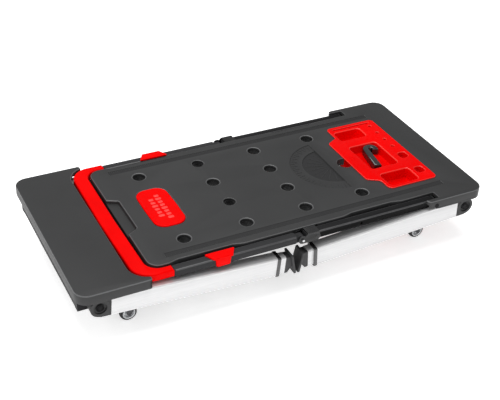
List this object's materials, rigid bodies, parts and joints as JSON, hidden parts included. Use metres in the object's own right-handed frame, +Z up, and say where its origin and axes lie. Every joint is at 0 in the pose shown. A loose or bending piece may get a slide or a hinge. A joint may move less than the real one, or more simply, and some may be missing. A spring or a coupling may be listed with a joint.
{
  "type": "folding platform cart",
  "caption": "Folding platform cart: flat work deck with tool tray, folding push handle, telescoping legs folded beneath, and small casters.",
  "frame": {"origin": "on the floor, under the middle of the deck", "axes": "+X along the deck towards the tool tray, +Y across the deck, +Z up"},
  "size_m": [1.043, 0.4826, 0.161],
  "materials": {
    "dark_plastic": "fine-grained moulded plastic",
    "black_plastic": "glossy moulded plastic",
    "red_plastic": "satin moulded plastic",
    "black_steel": "satin powder coat",
    "aluminium": "satin anodised",
    "zinc_steel": "zinc plated",
    "foot_rubber": "moulded rubber",
    "tyre": "hard rubber tread"
  },
  "bodies": {
    "base": {"top_panel": "dark_plastic", "left_end_plate": "dark_plastic", "badge": "red_plastic", "deck_screw_1": "black_steel", "deck_screw_2": "black_steel", "side_beam_front": "black_steel", "side_beam_rear": "black_steel", "caster_beam_left": "black_steel", "caster_beam_right": "black_steel", "hinge_beam_left": "black_steel", "hinge_beam_right": "black_steel", "handle_pivot_screw_front": "black_steel", "handle_pivot_screw_rear": "black_steel", "leg_bolt_left_front": "black_steel", "leg_bolt_left_rear": "black_steel", "leg_bolt_right_front": "black_steel", "leg_bolt_right_rear": "black_steel"},
    "tray": {"tool_tray": "red_plastic"},
    "hook": {"clamp_hook": "black_plastic"},
    "handle_lower": {"lower_rail_front": "black_steel", "lower_rail_rear": "black_steel", "hinge_bracket_front": "black_steel", "hinge_bracket_rear": "black_steel", "hinge_pin_front": "zinc_steel", "hinge_pin_rear": "zinc_steel"},
    "handle_upper": {"handle_bow": "red_plastic", "upper_rail_front": "black_steel", "upper_rail_rear": "black_steel"},
    "latch_front": {"latch_front": "red_plastic"},
    "latch_rear": {"latch_rear": "red_plastic"},
    "legs_left": {"leg_cross_tube_left": "black_steel", "leg_knuckle_left_front": "dark_plastic", "leg_knuckle_left_rear": "dark_plastic", "leg_tube_left_front": "aluminium", "leg_tube_left_rear": "aluminium", "leg_collar_left_front": "black_plastic", "leg_collar_left_rear": "black_plastic"},
    "extension_left_front": {"leg_extension_left_front": "aluminium", "leg_foot_left_front": "foot_rubber"},
    "fork_left_front": {"caster_fork_left_front": "zinc_steel"},
    "wheel_left_front": {"caster_wheel_left_front": "tyre"},
    "extension_left_rear": {"leg_extension_left_rear": "aluminium", "leg_foot_left_rear": "foot_rubber"},
    "fork_left_rear": {"caster_fork_left_rear": "zinc_steel"},
    "wheel_left_rear": {"caster_wheel_left_rear": "tyre"},
    "legs_right": {"leg_cross_tube_right": "black_steel", "leg_knuckle_right_front": "dark_plastic", "leg_knuckle_right_rear": "dark_plastic", "leg_tube_right_front": "aluminium", "leg_tube_right_rear": "aluminium", "leg_collar_right_front": "black_plastic", "leg_collar_right_rear": "black_plastic"},
    "extension_right_front": {"leg_extension_right_front": "aluminium", "leg_foot_right_front": "foot_rubber"},
    "fork_right_front": {"caster_fork_right_front": "zinc_steel"},
    "wheel_right_front": {"caster_wheel_right_front": "tyre"},
    "extension_right_rear": {"leg_extension_right_rear": "aluminium", "leg_foot_right_rear": "foot_rubber"},
    "fork_right_rear": {"caster_fork_right_rear": "zinc_steel"},
    "wheel_right_rear": {"caster_wheel_right_rear": "tyre"}
  },
  "joints": [
    {"name": "tray_lift", "type": "slide", "parent": "base", "child": "tray", "axis": [0, 0, 1], "range_m": [0, 0.1]},
    {"name": "hook_lift", "type": "slide", "parent": "tray", "child": "hook", "axis": [0, 0, 1], "range_m": [0, 0.06]},
    {"name": "handle_fold", "type": "hinge", "parent": "base", "child": "handle_lower", "pos_m": [0.38, 0, 0.143], "axis": [0, 1, 0], "range_deg": [0, 90]},
    {"name": "handle_mid_fold", "type": "hinge", "parent": "handle_lower", "child": "handle_upper", "pos_m": [0.014, 0, 0.142], "axis": [0, 1, 0], "range_deg": [0, 90]},
    {"name": "latch_flip_front", "type": "hinge", "parent": "handle_upper", "child": "latch_front", "pos_m": [-0.186, -0.207, 0.1554], "axis": [-1, 0, 0], "range_deg": [0, 75]},
    {"name": "latch_flip_rear", "type": "hinge", "parent": "handle_upper", "child": "latch_rear", "pos_m": [-0.171, 0.207, 0.1554], "axis": [1, 0, 0], "range_deg": [0, 75]},
    {"name": "leg_fold_left", "type": "hinge", "parent": "base", "child": "legs_left", "pos_m": [-0.473, 0, 0.1132], "axis": [0, 1, 0], "range_deg": [0, 101.4]},
    {"name": "leg_extend_left_front", "type": "slide", "parent": "legs_left", "child": "extension_left_front", "axis": [0.998, 0, -0.0628], "range_m": [0, 0.275]},
    {"name": "caster_swivel_left_front", "type": "hinge", "parent": "base", "child": "fork_left_front", "pos_m": [-0.374, -0.166, 0.0648], "axis": [0, 0, 1], "continuous": true},
    {"name": "wheel_spin_left_front", "type": "hinge", "parent": "fork_left_front", "child": "wheel_left_front", "pos_m": [-0.388, -0.166, 0.0205], "axis": [0, 1, 0], "continuous": true},
    {"name": "leg_extend_left_rear", "type": "slide", "parent": "legs_left", "child": "extension_left_rear", "axis": [0.998, 0, -0.0628], "range_m": [0, 0.275]},
    {"name": "caster_swivel_left_rear", "type": "hinge", "parent": "base", "child": "fork_left_rear", "pos_m": [-0.374, 0.166, 0.0648], "axis": [0, 0, 1], "continuous": true},
    {"name": "wheel_spin_left_rear", "type": "hinge", "parent": "fork_left_rear", "child": "wheel_left_rear", "pos_m": [-0.388, 0.166, 0.0205], "axis": [0, 1, 0], "continuous": true},
    {"name": "leg_fold_right", "type": "hinge", "parent": "base", "child": "legs_right", "pos_m": [0.473, 0, 0.1132], "axis": [0, -1, 0], "range_deg": [0, 101.4]},
    {"name": "leg_extend_right_front", "type": "slide", "parent": "legs_right", "child": "extension_right_front", "axis": [-0.998, 0, -0.0628], "range_m": [0, 0.275]},
    {"name": "caster_swivel_right_front", "type": "hinge", "parent": "base", "child": "fork_right_front", "pos_m": [0.374, -0.166, 0.0648], "axis": [0, 0, 1], "continuous": true},
    {"name": "wheel_spin_right_front", "type": "hinge", "parent": "fork_right_front", "child": "wheel_right_front", "pos_m": [0.388, -0.166, 0.0205], "axis": [0, 1, 0], "continuous": true},
    {"name": "leg_extend_right_rear", "type": "slide", "parent": "legs_right", "child": "extension_right_rear", "axis": [-0.998, 0, -0.0628], "range_m": [0, 0.275]},
    {"name": "caster_swivel_right_rear", "type": "hinge", "parent": "base", "child": "fork_right_rear", "pos_m": [0.374, 0.166, 0.0648], "axis": [0, 0, 1], "continuous": true},
    {"name": "wheel_spin_right_rear", "type": "hinge", "parent": "fork_right_rear", "child": "wheel_right_rear", "pos_m": [0.388, 0.166, 0.0205], "axis": [0, 1, 0], "continuous": true}
  ],
  "couplings": [
    {"joint": "leg_extend_left_front", "follows": "leg_fold_left", "m_per_rad": 0.1526},
    {"joint": "leg_extend_left_rear", "follows": "leg_fold_left", "m_per_rad": 0.1526},
    {"joint": "leg_extend_right_front", "follows": "leg_fold_right", "m_per_rad": 0.1526},
    {"joint": "leg_extend_right_rear", "follows": "leg_fold_right", "m_per_rad": 0.1526}
  ]
}
